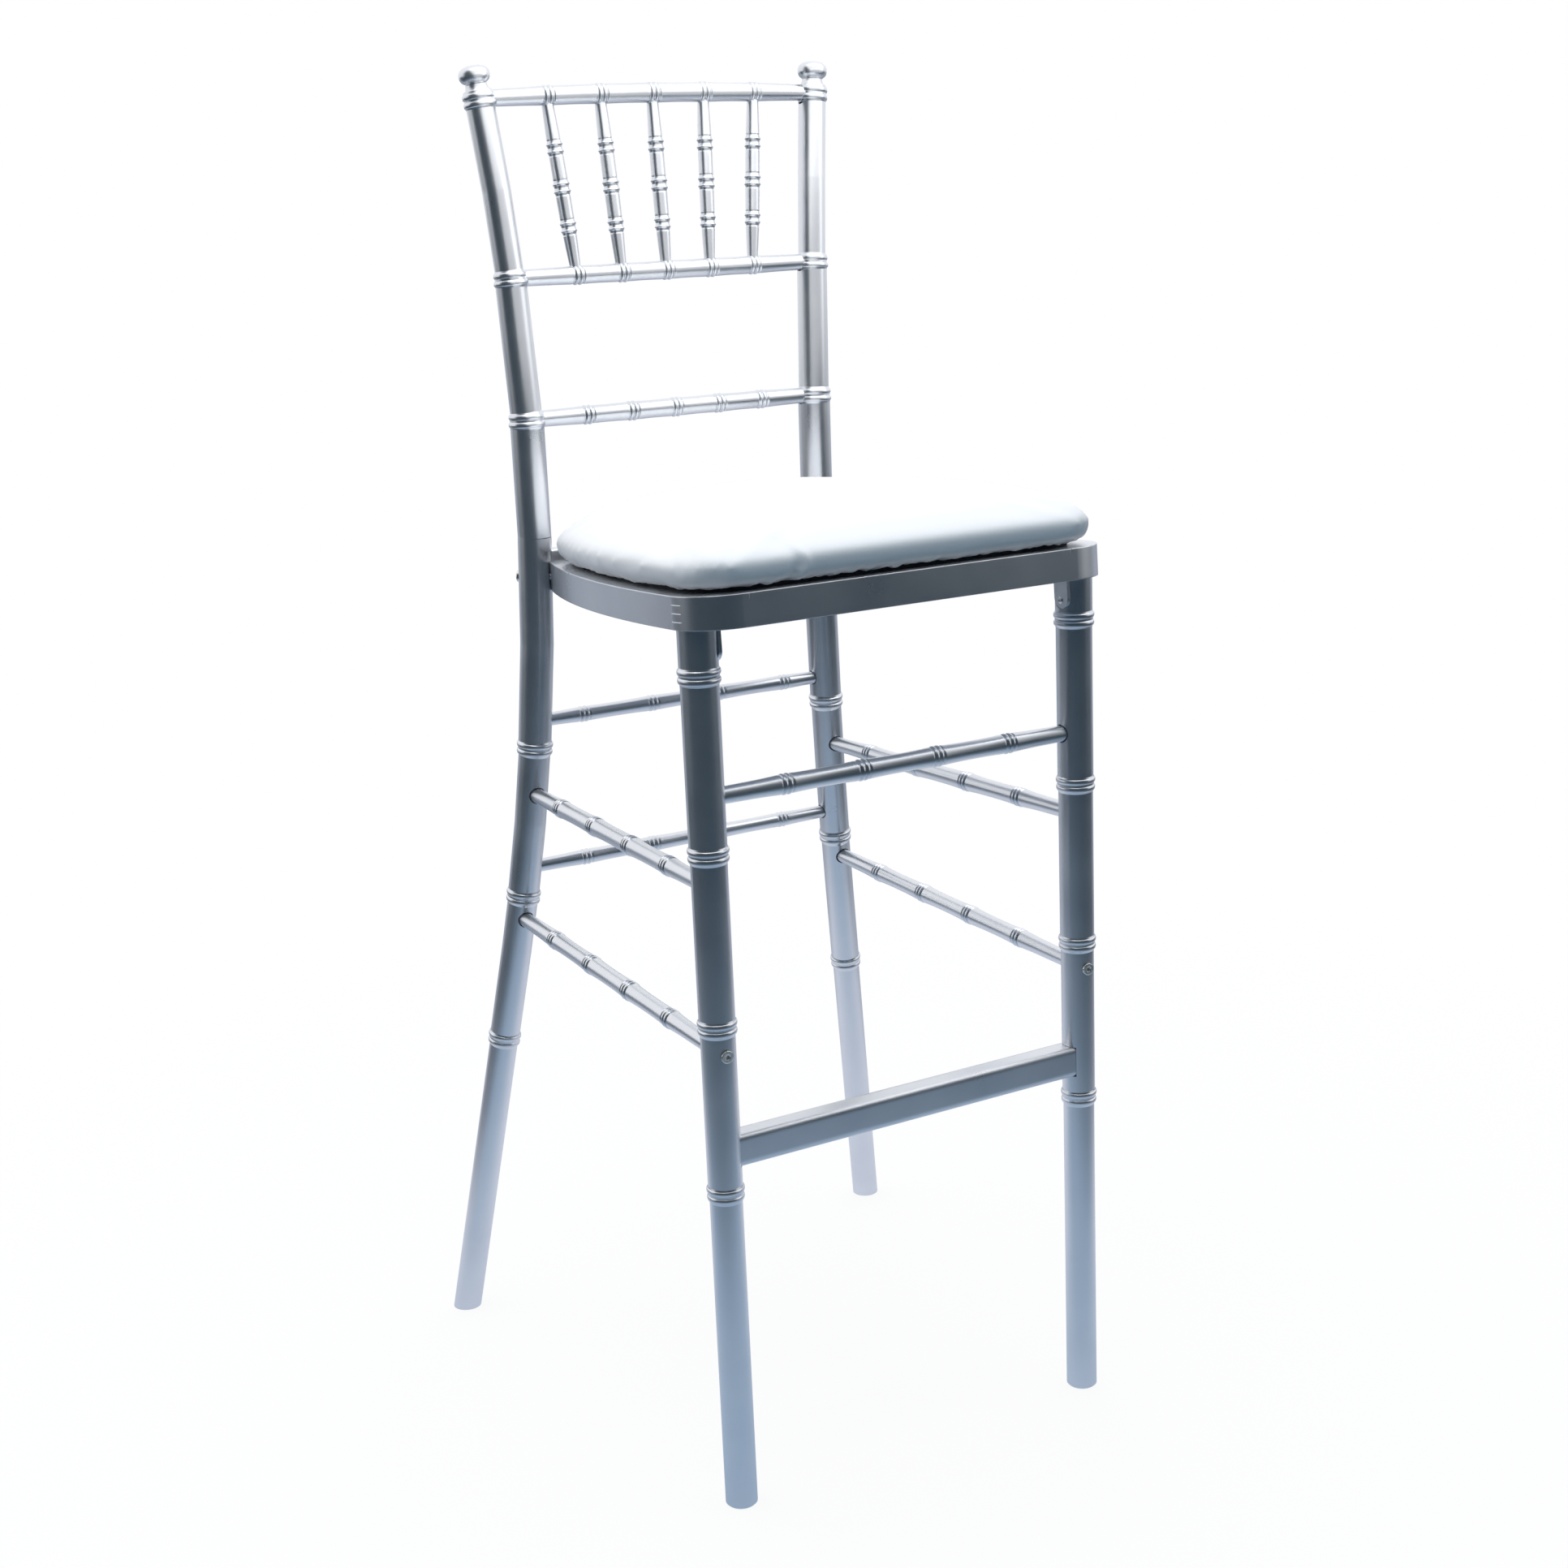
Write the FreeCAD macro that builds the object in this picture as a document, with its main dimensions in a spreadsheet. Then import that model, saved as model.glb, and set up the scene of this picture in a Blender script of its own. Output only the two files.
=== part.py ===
import FreeCAD, Part
import math
import os
import Sketcher

# Chiavari bar stool: turned and bent beech posts, turned legs, rails and stretchers set in
# round sockets, a finger-jointed seat frame with a plywood panel, and a loose seat cushion.
# Millimetres and degrees. +Z is up, the front of the stool faces -Y, and the origin is on the
# floor under the middle of the stool. Right-hand pieces are drawn, left-hand ones mirror them.

SIZES = [
    ("socket_gap", 0.3, "space round a turned end in its socket"),
    ("slip_gap", 0.2, "space round a screw, a tenoned bar or a let-in plate"),
    ("socket_floor", 4, "distance of a socket's floor from the axis of its leg or post"),
    # front legs
    ("leg_inset", 18, "front leg axis, inside the side of the seat frame"),
    ("leg_y", 221.57, "front leg axis, forward of the middle of the stool"),
    ("leg_foot_dia", 26, "front leg at the floor"),
    ("leg_top_dia", 31.2, "front leg under the seat"),
    ("foot_chamfer", 1.5, "broken edge round a foot"),
    ("leg_ring_top", 707, "height of a front leg's highest beads"),
    ("leg_ring_pitch", 142, "distance between a front leg's beads"),
    ("leg_tenon_dia", 16, "round tenon on top of a front leg"),
    ("leg_tenon_length", 18, "how far that tenon stands into the seat frame"),
    # double beads turned on legs and posts
    ("bead_pitch", 6.6, "distance between the two beads where a leg or post changes in thickness"),
    ("bead_height", 1.4, "how far a bead stands out"),
    ("bead_valley", 0.1, "how far the bottom of the groove between them stands out"),
    ("bead_root", 0.3, "how far the beads of a post are sunk in at their edges"),
    # back posts
    ("post_foot_x", 233.7, "back post axis at the floor, from the middle"),
    ("post_foot_y", 244.83, "back post axis at the floor, behind the middle"),
    ("post_turn", 45, "angle of the plane that a post is bent in"),
    ("post_lean", 0.7, "sideways lean of that plane"),
    ("post_splay", 12.34, "slope of the straight lower part of a post"),
    ("post_bend_start", 380, "height where the bend begins"),
    ("post_bend_radius", 2150, "radius of the bend"),
    ("post_bend_step", 130, "height of each straight length that the bend is made of"),
    ("post_foot_dia", 25.6, "back post at the floor"),
    ("post_stock", 20, "length of a post's stock below the floor, before its foot is cut level"),
    ("post_seat_dia", 31, "back post at the seat, its thickest place"),
    ("post_top_dia", 24, "back post at the crest rail"),
    ("post_ring_low", 289, "height of a post's lowest beads"),
    ("post_ring_pitch", 144, "distance between the three pairs of beads under the seat"),
    ("crest_rise", 376.4, "crest rail and its beads, above the front of the seat"),
    ("middle_rise", 226.4, "middle back rail and its beads, above the front of the seat"),
    ("lower_rise", 103.9, "lower back rail and its beads, above the front of the seat"),
    ("finial_tall", 28.5, "top of a post above the crest rail's axis"),
    ("finial_dia", 27, "flattened ball on top of a post"),
    ("finial_neck_dia", 15.5, "neck under the ball"),
    ("finial_neck_height", 13.4, "narrowest place of the neck, above the crest rail's axis"),
    ("finial_ball_height", 21, "widest place of the ball, above the crest rail's axis"),
    ("finial_round", 3.6, "how far the ball's upper edge is rounded off"),
    # back rails and spindles
    ("back_rail_dia", 16, "crest, middle and lower back rails"),
    ("spindle_pitch_high", 51.3, "distance between the spindles at the crest rail"),
    ("spindle_pitch_low", 44.5, "distance between the spindles at the middle back rail"),
    ("spindle_end_dia", 9.2, "spindle where it enters a rail"),
    ("spindle_body_dia", 12.6, "spindle over the middle half of its length"),
    ("spindle_floor", 2.5, "distance of a spindle socket's floor from the rail's axis"),
    # stretchers and footrest
    ("stretcher_dia", 15, "front and side stretchers"),
    ("rear_stretcher_dia", 13, "rear stretchers"),
    ("front_stretcher_height", 610, "front stretcher axis"),
    ("rear_upper_height", 601.5, "upper rear stretcher axis"),
    ("rear_lower_height", 460, "lower rear stretcher axis"),
    ("side_upper_front", 538, "upper side stretcher axis at the front leg"),
    ("side_upper_rear", 533, "upper side stretcher axis at the back post"),
    ("side_lower_front", 402, "lower side stretcher axis at the front leg"),
    ("side_lower_rear", 412, "lower side stretcher axis at the back post"),
    ("footrest_height", 316.5, "middle of the footrest bar"),
    ("footrest_tall", 26.5, "height of the footrest bar's section"),
    ("footrest_deep", 20, "depth of the footrest bar's section"),
    ("footrest_round", 3, "rounded long edges of the footrest bar"),
    # seat frame
    ("seat_front_y", 256.77, "front of the seat frame, forward of the middle"),
    ("seat_height", 772.1, "top of the seat frame at its front edge"),
    ("seat_rake", 3.32, "slope of the seat, down to the rear"),
    ("seat_thick", 26, "thickness of the seat frame"),
    ("seat_half_width", 195, "half the width of the seat frame at the front"),
    ("seat_rear_half", 138, "half the width of the seat frame at the rear"),
    ("seat_corner", 40, "radius of the frame's front corners"),
    ("seat_rail_width", 46, "width of the frame's front and side rails"),
    ("rear_rail_thick", 18, "thickness of the rear rail between the posts"),
    ("rear_rail_rise", 11, "how far the rear rail stands above the frame"),
    ("rear_rail_housing", 6, "how far the rear rail is let into a post"),
    ("rear_rail_round", 3, "rounded upper edges of the rear rail"),
    ("panel_thick", 9, "plywood seat panel"),
    ("panel_sink", 2.4, "how far the panel lies below the frame's top"),
    ("panel_lap", 9, "how far the panel lies on the rails"),
    # leg brackets and fasteners
    ("bracket_thick", 3, "steel of a leg bracket"),
    ("bracket_width", 18, "width of a leg bracket"),
    ("bracket_drop", 27, "how far its tongue reaches below the seat frame"),
    ("bracket_reach", 34, "how far its foot reaches under the front rail"),
    ("bracket_set", 12, "distance of its seat from the leg's axis"),
    ("screw_dia", 6, "connecting screw's shank"),
    ("screw_head_dia", 10.5, "button head of that screw"),
    ("screw_head_tall", 3.2, "height of that head"),
    ("screw_key", 4.6, "hexagon socket in that head, across its corners"),
    ("screw_key_depth", 1.92, "depth of that socket"),
    ("screw_spotface", 1.6, "depth of the flat that the head sits on"),
    ("screw_grip", 34, "length of screw beyond the axis of its leg or post"),
    # cushion
    ("cushion_inset", 3, "cushion's widest place inside the edge of the frame"),
    ("cushion_rear_gap", 2, "cushion's widest place forward of the rear rail"),
    ("cushion_crown", 61, "top of the cushion above the frame"),
    ("cushion_hem", 4, "base board's thickness, and height of the hem above the frame"),
    ("cushion_corner", 46, "corner radius of the cushion at its widest place"),
    ("cushion_draw", 8, "how far the hem is drawn in under the widest place"),
    ("cushion_fall", 100, "how far the flat of the crown lies inside the widest place"),
    ("board_inset", 14, "base board's edge inside the cushion's widest place"),
    ("tape_width", 25, "hook and loop tape"),
    ("tape_length", 110, "length of each strip of tape"),
    ("tape_thick", 1.1, "thickness of each strip of tape"),
    ("tape_spacing", 190, "distance between the two strips"),
]

doc = FreeCAD.newDocument("chiavari_bar_stool")
sheet = doc.addObject("Spreadsheet::Sheet", "Sizes")
for row, (alias, number, meaning) in enumerate(SIZES, start=1):
    sheet.set(f"A{row}", meaning)
    sheet.set(f"B{row}", str(number))
    sheet.setAlias(f"B{row}", alias)
doc.recompute()


class Dim:
    """A size, with the expression on the sheet's cells that gives it."""

    def __init__(self, value, text):
        self.value = value
        self.text = text

    def joined(self, sign, other, value):
        return Dim(value, f"({self.text} {sign} {other.text})")

    def __add__(self, other):
        other = dim(other)
        return self.joined("+", other, self.value + other.value)

    def __sub__(self, other):
        other = dim(other)
        return self.joined("-", other, self.value - other.value)

    def __mul__(self, other):
        other = dim(other)
        return self.joined("*", other, self.value * other.value)

    def __truediv__(self, other):
        other = dim(other)
        return self.joined("/", other, self.value / other.value)

    def __neg__(self):
        return Dim(-self.value, f"(-1 * {self.text})")


def dim(size):
    """A plain number as a Dim."""
    if isinstance(size, Dim):
        return size
    return Dim(float(size), f"{float(size):.9f}")


S = {alias: Dim(float(sheet.get(alias)), f"Sizes.{alias}") for alias, number, meaning in SIZES}
V = {alias: size.value for alias, size in S.items()}
LEG_X = V["seat_half_width"] - V["leg_inset"]
XAXIS = FreeCAD.Vector(1, 0, 0)
YAXIS = FreeCAD.Vector(0, 1, 0)
ZAXIS = FreeCAD.Vector(0, 0, 1)
PARTS = []


# Drawing helpers

def new_body(label, placement=FreeCAD.Placement()):
    body = doc.addObject("PartDesign::Body", label)
    body.Label = label
    body.Placement = placement
    return body


def new_sketch(body, role, offset=FreeCAD.Placement()):
    """A sketch on one of the body's own origin planes."""
    sketch = body.newObject("Sketcher::SketchObject", f"{body.Label}_sketch")
    plane = next(item for item in body.Origin.OriginFeatures if item.Role == role)
    sketch.AttachmentSupport = [(plane, "")]
    sketch.MapMode = "FlatFace"
    sketch.AttachmentOffset = offset
    return sketch


def hold(sketch, size, *constraint):
    """A sketch constraint whose value is tied to the sheet."""
    number = sketch.addConstraint(Sketcher.Constraint(*constraint, size.value))
    sketch.setExpression(f"Constraints[{number}]", size.text)


def place_point(sketch, index, x, y):
    """Fixes the start of one edge at x, y from the sketch's origin."""
    for kind, size, axis in (("DistanceX", dim(x), -2), ("DistanceY", dim(y), -1)):
        if abs(size.value) < 1e-9:
            sketch.addConstraint(Sketcher.Constraint("PointOnObject", index, 1, axis))
        elif size.value > 0:
            hold(sketch, size, kind, -1, 1, index, 1)
        else:
            hold(sketch, -size, kind, index, 1, -1, 1)


def arc_edge(start, end, radius):
    """An anticlockwise arc of less than half a circle."""
    chord = end - start
    inward = FreeCAD.Vector(-chord.y, chord.x, 0).normalize()
    centre = (start + end) * 0.5 + inward * math.sqrt(radius**2 - chord.Length**2 / 4)
    first, last = [math.atan2(spot.y - centre.y, spot.x - centre.x) for spot in (start, end)]
    if last < first:
        last += 2 * math.pi
    return Part.ArcOfCircle(Part.Circle(centre, ZAXIS, radius), first, last)


def draw_outline(sketch, points):
    """A closed outline, anticlockwise: (x, y) or (x, y, radius of the arc to the next point)."""
    corners = [FreeCAD.Vector(dim(point[0]).value, dim(point[1]).value, 0) for point in points]
    edges = []
    for point, start, end in zip(points, corners, corners[1:] + corners[:1]):
        if len(point) == 3:
            edges.append(arc_edge(start, end, dim(point[2]).value))
        else:
            edges.append(Part.LineSegment(start, end))
    sketch.addGeometry(edges, False)
    for index, point in enumerate(points):
        following = (index + 1) % len(points)
        sketch.addConstraint(Sketcher.Constraint("Coincident", index, 2, following, 1))
        place_point(sketch, index, point[0], point[1])
        if len(point) == 3:
            hold(sketch, dim(point[2]), "Radius", index)


def draw_circle(sketch, radius):
    """A circle about the sketch's origin."""
    sketch.addGeometry(Part.Circle(FreeCAD.Vector(), ZAXIS, radius.value), False)
    sketch.addConstraint(Sketcher.Constraint("Coincident", 0, 3, -1, 1))
    hold(sketch, radius, "Radius", 0)


def revolve(body, sketch):
    """A full turn about the sketch's upright axis."""
    turning = body.newObject("PartDesign::Revolution", f"{body.Label}_turning")
    turning.Profile = sketch
    turning.ReferenceAxis = (sketch, ["V_Axis"])
    turning.Angle = 360


def turned(label, stations, placement=FreeCAD.Placement()):
    """A piece turned about its own Z, from stations of (distance along it, radius)."""
    body = new_body(label, placement)
    sketch = new_sketch(body, "XZ_Plane")
    outline = [(radius, along) for along, radius in stations]
    draw_outline(sketch, [(0, stations[0][0])] + outline + [(0, stations[-1][0])])
    revolve(body, sketch)
    return body


def pad(body, sketch, length):
    feature = body.newObject("PartDesign::Pad", f"{body.Label}_pad")
    feature.Profile = sketch
    feature.setExpression("Length", length.text)


def pocket(body, sketch, depth):
    """A pocket cut downward from a sketch."""
    feature = body.newObject("PartDesign::Pocket", f"{body.Label}_pocket")
    feature.Profile = sketch
    feature.setExpression("Length", depth.text)


def local(body, placement):
    """A place in the stool's frame as a place in the body's own frame."""
    return body.Placement.inverse().multiply(placement)


def along_axis(start, direction):
    """The place at start whose Z points along direction."""
    return FreeCAD.Placement(start, FreeCAD.Rotation(ZAXIS, direction))


def cylinder(body, kind, radius, height, placement):
    feature = body.newObject(f"PartDesign::{kind}Cylinder", f"{body.Label}_{kind.lower()}_round")
    feature.setExpression("Radius", radius.text)
    feature.setExpression("Height", height.text)
    feature.Placement = local(body, placement)


def block(body, kind, sides, placement):
    """A block with its first corner at the placement."""
    feature = body.newObject(f"PartDesign::{kind}Box", f"{body.Label}_{kind.lower()}_block")
    for side, size in zip(("Length", "Width", "Height"), sides):
        feature.setExpression(side, dim(size).text)
    feature.Placement = local(body, placement)


def keep(thing, label=None):
    """Lists a finished sub-part."""
    if label:
        thing.Label = label
    PARTS.append(thing)
    return thing


def mirror_image(thing, label):
    """The left-hand twin of a right-hand piece."""
    twin = doc.addObject("Part::Mirroring", label)
    twin.Source = thing
    twin.Normal = XAXIS
    twin.Label = label
    return twin


def keep_pair(right, stem):
    """Lists a right-hand piece and its left-hand twin."""
    keep(right, f"right_{stem}")
    keep(mirror_image(right, f"left_{stem}"))


def keep_group(things, label):
    """Lists several like pieces as one node, each still a solid of its own."""
    twins = [mirror_image(thing, f"{thing.Label}_twin") for thing in things]
    bundle = doc.addObject("Part::Compound", label)
    bundle.Links = things + twins
    keep(bundle, label)


# Where things are

def back_height(rise):
    """The height of a back rail from its rise above the seat."""
    return S["seat_height"] + S[rise]


CREST = back_height("crest_rise")
MIDDLE = back_height("middle_rise")
LOWER = back_height("lower_rise")


def post_bend(height):
    """Offset and slope, in a post's own plane, of its axis at a height."""
    splay = math.radians(V["post_splay"])
    start = V["post_bend_start"]
    radius = V["post_bend_radius"]
    if height <= start:
        return -math.tan(splay) * height, splay
    slope = math.asin(math.sin(splay) - (height - start) / radius)
    return -math.tan(splay) * start - radius * (math.cos(slope) - math.cos(splay)), slope


POST_FRAME = FreeCAD.Placement(
    FreeCAD.Vector(V["post_foot_x"], V["post_foot_y"], 0),
    FreeCAD.Rotation(ZAXIS, V["post_turn"]).multiply(FreeCAD.Rotation(XAXIS, V["post_lean"])),
)


def post_axis(height):
    """The right post's axis at a height, in the stool's frame."""
    return POST_FRAME.multVec(FreeCAD.Vector(post_bend(height)[0], 0, height))


def leg_axis(height):
    return FreeCAD.Vector(LEG_X, -V["leg_y"], height)


RAKE = math.radians(V["seat_rake"])
SEAT_FRAME = FreeCAD.Placement(
    FreeCAD.Vector(
        0,
        -V["seat_front_y"] - V["seat_thick"] * math.sin(RAKE),
        V["seat_height"] - V["seat_thick"] * math.cos(RAKE),
    ),
    FreeCAD.Rotation(XAXIS, -V["seat_rake"]),
)


def on_seat(x, y, z):
    """A place in the seat's own frame: y from its front edge, z from its underside."""
    spots = [dim(size).value for size in (x, y, z)]
    return SEAT_FRAME.multiply(FreeCAD.Placement(FreeCAD.Vector(*spots), FreeCAD.Rotation()))


def post_in_seat():
    """The right post's axis where it passes the middle of the seat frame's thickness."""
    height = V["seat_height"]
    closing_steps = 6
    for step in range(closing_steps):
        spot = post_axis(height)
        depth = SEAT_FRAME.inverse().multVec(spot).z - V["seat_thick"] / 2
        height -= depth
    return post_axis(height)


LEG_SEAT_Y = (V["seat_front_y"] - V["leg_y"]) / math.cos(RAKE)
LEG_TOP = on_seat(LEG_X, LEG_SEAT_Y, 0).Base
POST_AT_SEAT = post_in_seat()
REAR_RAIL_Y = SEAT_FRAME.inverse().multVec(POST_AT_SEAT).y - V["rear_rail_thick"] / 2
SEAT_SCREW_WAY = FreeCAD.Rotation(ZAXIS, V["post_turn"]).multVec(-XAXIS)


def flipped(point):
    return FreeCAD.Vector(-point.x, point.y, point.z)


def shortened(start, end, less):
    """A run between two axes, less the same length at both ends."""
    step = (end - start).normalize() * less
    return start + step, end - step


def cross_run(point):
    """A run across the stool, from a point's mirror image to the point."""
    return shortened(flipped(point), point, V["socket_floor"])


def side_run(front, rear):
    return shortened(leg_axis(front), post_axis(rear), V["socket_floor"])


def spindle_run(place):
    low = post_axis(MIDDLE.value)
    high = post_axis(CREST.value)
    low.x = place * V["spindle_pitch_low"]
    high.x = place * V["spindle_pitch_high"]
    return shortened(low, high, V["spindle_floor"])


RUNS = {
    "crest_rail": cross_run(post_axis(CREST.value)),
    "middle_back_rail": cross_run(post_axis(MIDDLE.value)),
    "lower_back_rail": cross_run(post_axis(LOWER.value)),
    "upper_rear_stretcher": cross_run(post_axis(V["rear_upper_height"])),
    "lower_rear_stretcher": cross_run(post_axis(V["rear_lower_height"])),
    "front_stretcher": cross_run(leg_axis(V["front_stretcher_height"])),
    "upper_side_stretcher": side_run(V["side_upper_front"], V["side_upper_rear"]),
    "lower_side_stretcher": side_run(V["side_lower_front"], V["side_lower_rear"]),
}
SPINDLES = range(-2, 3)
for place in SPINDLES:
    RUNS[f"spindle_{place + 3}"] = spindle_run(place)


def run_way(name, end=0):
    """The direction into a run from one of its ends."""
    return (RUNS[name][1 - end] - RUNS[name][end]).normalize()


def socket(body, name, end, diameter):
    """The socket for one end of a run: 0 is its start and 1 is its end."""
    place = along_axis(RUNS[name][end], run_way(name, end))
    cylinder(body, "Subtractive", diameter / 2 + S["socket_gap"], S["leg_top_dia"], place)


# Turned profiles

def double_bead(along, below, above):
    """Two beads with a groove between them, where the radius of a leg or post changes."""
    pitch = S["bead_pitch"]
    mean = (below + above) / 2
    crest = mean + S["bead_height"]
    valley = mean + S["bead_valley"]
    return [
        (along - pitch, below),
        (along - pitch / 2, crest),
        (along, valley),
        (along + pitch / 2, crest),
        (along + pitch, above),
    ]


def stick(name, diameter):
    """A round stick that fills a run from socket floor to socket floor."""
    start, end = RUNS[name]
    stations = [(dim(0), diameter / 2), (dim((end - start).Length), diameter / 2)]
    return turned(name, stations, along_axis(start, end - start))


def spindle(name):
    """A turned spindle, thicker over the middle half of its length."""
    start, end = RUNS[name]
    length = dim((end - start).Length)
    stations = [
        (dim(0), S["spindle_end_dia"] / 2),
        (length / 4, S["spindle_end_dia"] / 2),
        (length / 4, S["spindle_body_dia"] / 2),
        (length * 3 / 4, S["spindle_body_dia"] / 2),
        (length * 3 / 4, S["spindle_end_dia"] / 2),
        (length, S["spindle_end_dia"] / 2),
    ]
    return turned(name, stations, along_axis(start, end - start))


# Connecting screws, each through a leg or post into the piece that it holds

def screw_seat(axis_point, way, radius):
    """Where a screw's head sits on the leg or post that it goes through."""
    return axis_point - way * (radius.value - V["screw_spotface"])


def connecting_screw(label, axis_point, way, radius):
    head = S["screw_head_tall"]
    wide = S["screw_head_dia"] / 2
    shank = S["screw_dia"] / 2
    length = head + radius - S["screw_spotface"] + S["screw_grip"]
    stations = [(dim(0), wide), (head, wide), (head, shank), (length, shank)]
    seat = screw_seat(axis_point, way, radius)
    body = turned(label, stations, along_axis(seat - way * head.value, way))
    key = body.newObject("PartDesign::SubtractivePrism", f"{label}_hexagon")
    key.Polygon = 6
    key.setExpression("Circumradius", (S["screw_key"] / 2).text)
    key.setExpression("Height", S["screw_key_depth"].text)
    return body


def bore(body, start, way, radius, length):
    """A round hole from a place along a direction."""
    cylinder(body, "Subtractive", radius, length, along_axis(start, way))


def screw_bore(body, axis_point, way):
    """The hole for a screw's shank, from well outside a leg or post to the screw's point."""
    outside = S["leg_top_dia"]
    start = axis_point - way * outside.value
    bore(body, start, way, S["screw_dia"] / 2 + S["slip_gap"], outside + S["screw_grip"])


def screw_spotface(body, axis_point, way, radius):
    """The flat that a screw's head sits on."""
    seat = screw_seat(axis_point, way, radius)
    bore(body, seat, way * -1, S["screw_head_dia"] / 2 + S["slip_gap"], S["leg_top_dia"])


# Back posts: bent in one plane, tapered both ways from the seat, with turned rings and a finial

def post_radius(height):
    """A post's radius at a height."""
    seat = S["seat_height"]
    if height.value <= seat.value:
        return (S["post_foot_dia"] + (S["post_seat_dia"] - S["post_foot_dia"]) * height / seat) / 2
    share = (height - seat) / S["crest_rise"]
    return (S["post_seat_dia"] - (S["post_seat_dia"] - S["post_top_dia"]) * share) / 2


def post_length(body, heights):
    """A length of post of one thickness, along straight runs that follow the bend."""
    spots = [FreeCAD.Vector(post_bend(height)[0], height, 0) for height in heights]
    path = new_sketch(body, "XZ_Plane")
    path.addGeometry([Part.LineSegment(*ends) for ends in zip(spots, spots[1:])], False)
    for index in range(len(spots) - 2):
        path.addConstraint(Sketcher.Constraint("Coincident", index, 2, index + 1, 1))
    rise = spots[1] - spots[0]
    turn = FreeCAD.Rotation(ZAXIS, FreeCAD.Vector(rise.x, 0, rise.y))
    foot = FreeCAD.Vector(spots[0].x, 0, spots[0].y)
    section = new_sketch(body, "XY_Plane", FreeCAD.Placement(foot, turn))
    draw_circle(section, length_radius(heights))
    pipe = body.newObject("PartDesign::AdditivePipe", f"{body.Label}_length")
    pipe.Profile = section
    pipe.Spine = (path, [f"Edge{index + 1}" for index in range(len(spots) - 1)])
    pipe.Transition = "Right corner"


def length_radius(heights):
    """The radius of a length of post, that of the taper at its middle."""
    return post_radius(dim((heights[0] + heights[-1]) / 2))


def bend_heights(low, high):
    """Heights from low to high, close enough together in the bend to follow it."""
    start = max(low, V["post_bend_start"])
    steps = max(1, math.ceil((high - start) / V["post_bend_step"]))
    curve = [start + (high - start) * index / steps for index in range(steps + 1)]
    return ([low] if low < start else []) + curve if high > start else [low, high]


def post_turning(body, height, outline):
    """A turned form added on the post's bent axis at a height."""
    offset, slope = post_bend(height)
    turn = FreeCAD.Rotation(ZAXIS, math.degrees(slope))
    sketch = new_sketch(body, "XZ_Plane", FreeCAD.Placement(FreeCAD.Vector(offset, height, 0), turn))
    draw_outline(sketch, outline)
    revolve(body, sketch)


def finial_outline():
    """The cove, neck and flattened ball that end a post, from the crest rail's axis up."""
    top = S["finial_tall"]
    neck = S["finial_neck_dia"] / 2
    ball = S["finial_dia"] / 2
    shoulder = S["post_top_dia"] / 2
    under = S["bead_pitch"]
    trim = S["finial_round"]
    return [
        (0, 0),
        (shoulder / 2, 0),
        (shoulder / 2, under),
        (shoulder, under),
        (neck, S["finial_neck_height"]),
        (ball - trim / 2, S["finial_neck_height"] + trim),
        (ball, S["finial_ball_height"]),
        (ball - trim, top - trim / 2),
        (ball / 2, top),
        (0, top),
    ]


def back_post():
    body = new_body("right_back_post", POST_FRAME)
    lower_rings = [V["post_ring_low"] + V["post_ring_pitch"] * index for index in range(3)]
    upper_rings = [LOWER.value, MIDDLE.value, CREST.value]
    breaks = [-V["post_stock"]] + lower_rings + [V["seat_height"]] + upper_rings
    lengths = [bend_heights(*ends) for ends in zip(breaks, breaks[1:])]
    for heights in lengths:
        post_length(body, heights)
    for height in lower_rings + upper_rings:
        below = next(heights for heights in lengths if heights[-1] == height)
        above = next((heights for heights in lengths if heights[0] == height), below)
        root = S["bead_root"]
        profile = double_bead(dim(0), length_radius(below) - root, length_radius(above) - root)
        outline = [(radius, along) for along, radius in profile]
        core = length_radius(above) / 2
        post_turning(body, height, outline + [(core, S["bead_pitch"]), (core, -S["bead_pitch"])])
    post_turning(body, CREST.value, finial_outline())
    wide = 2 * V["post_foot_dia"]
    deep = 2 * V["post_stock"]
    corner = POST_FRAME.Base - FreeCAD.Vector(wide / 2, wide / 2, deep)
    block(body, "Subtractive", (wide, wide, deep), FreeCAD.Placement(corner, FreeCAD.Rotation()))
    for name in ("crest_rail", "middle_back_rail", "lower_back_rail"):
        socket(body, name, 1, S["back_rail_dia"])
    for name in ("upper_rear_stretcher", "lower_rear_stretcher"):
        socket(body, name, 1, S["rear_stretcher_dia"])
    for name in ("upper_side_stretcher", "lower_side_stretcher"):
        socket(body, name, 1, S["stretcher_dia"])
    screw_bore(body, SEAT_SCREW_POINT, SEAT_SCREW_WAY)
    screw_spotface(body, SEAT_SCREW_POINT, SEAT_SCREW_WAY, SEAT_SCREW_RADIUS)
    gap = S["slip_gap"]
    mortise = (V["post_seat_dia"], S["rear_rail_thick"] + gap * 2, REAR_RAIL_TALL + gap)
    block(body, "Subtractive", mortise,
          on_seat(REAR_RAIL_HALF - V["post_seat_dia"], REAR_RAIL_Y - gap.value, 0))
    return body


# Front legs: turned, with four rings, a round tenon in the seat frame, and their sockets

def leg_radius(height):
    """The radius of a front leg's taper at a height."""
    under_seat = S["seat_height"] - S["seat_thick"]
    return (S["leg_foot_dia"] + (S["leg_top_dia"] - S["leg_foot_dia"]) * height / under_seat) / 2


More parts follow.
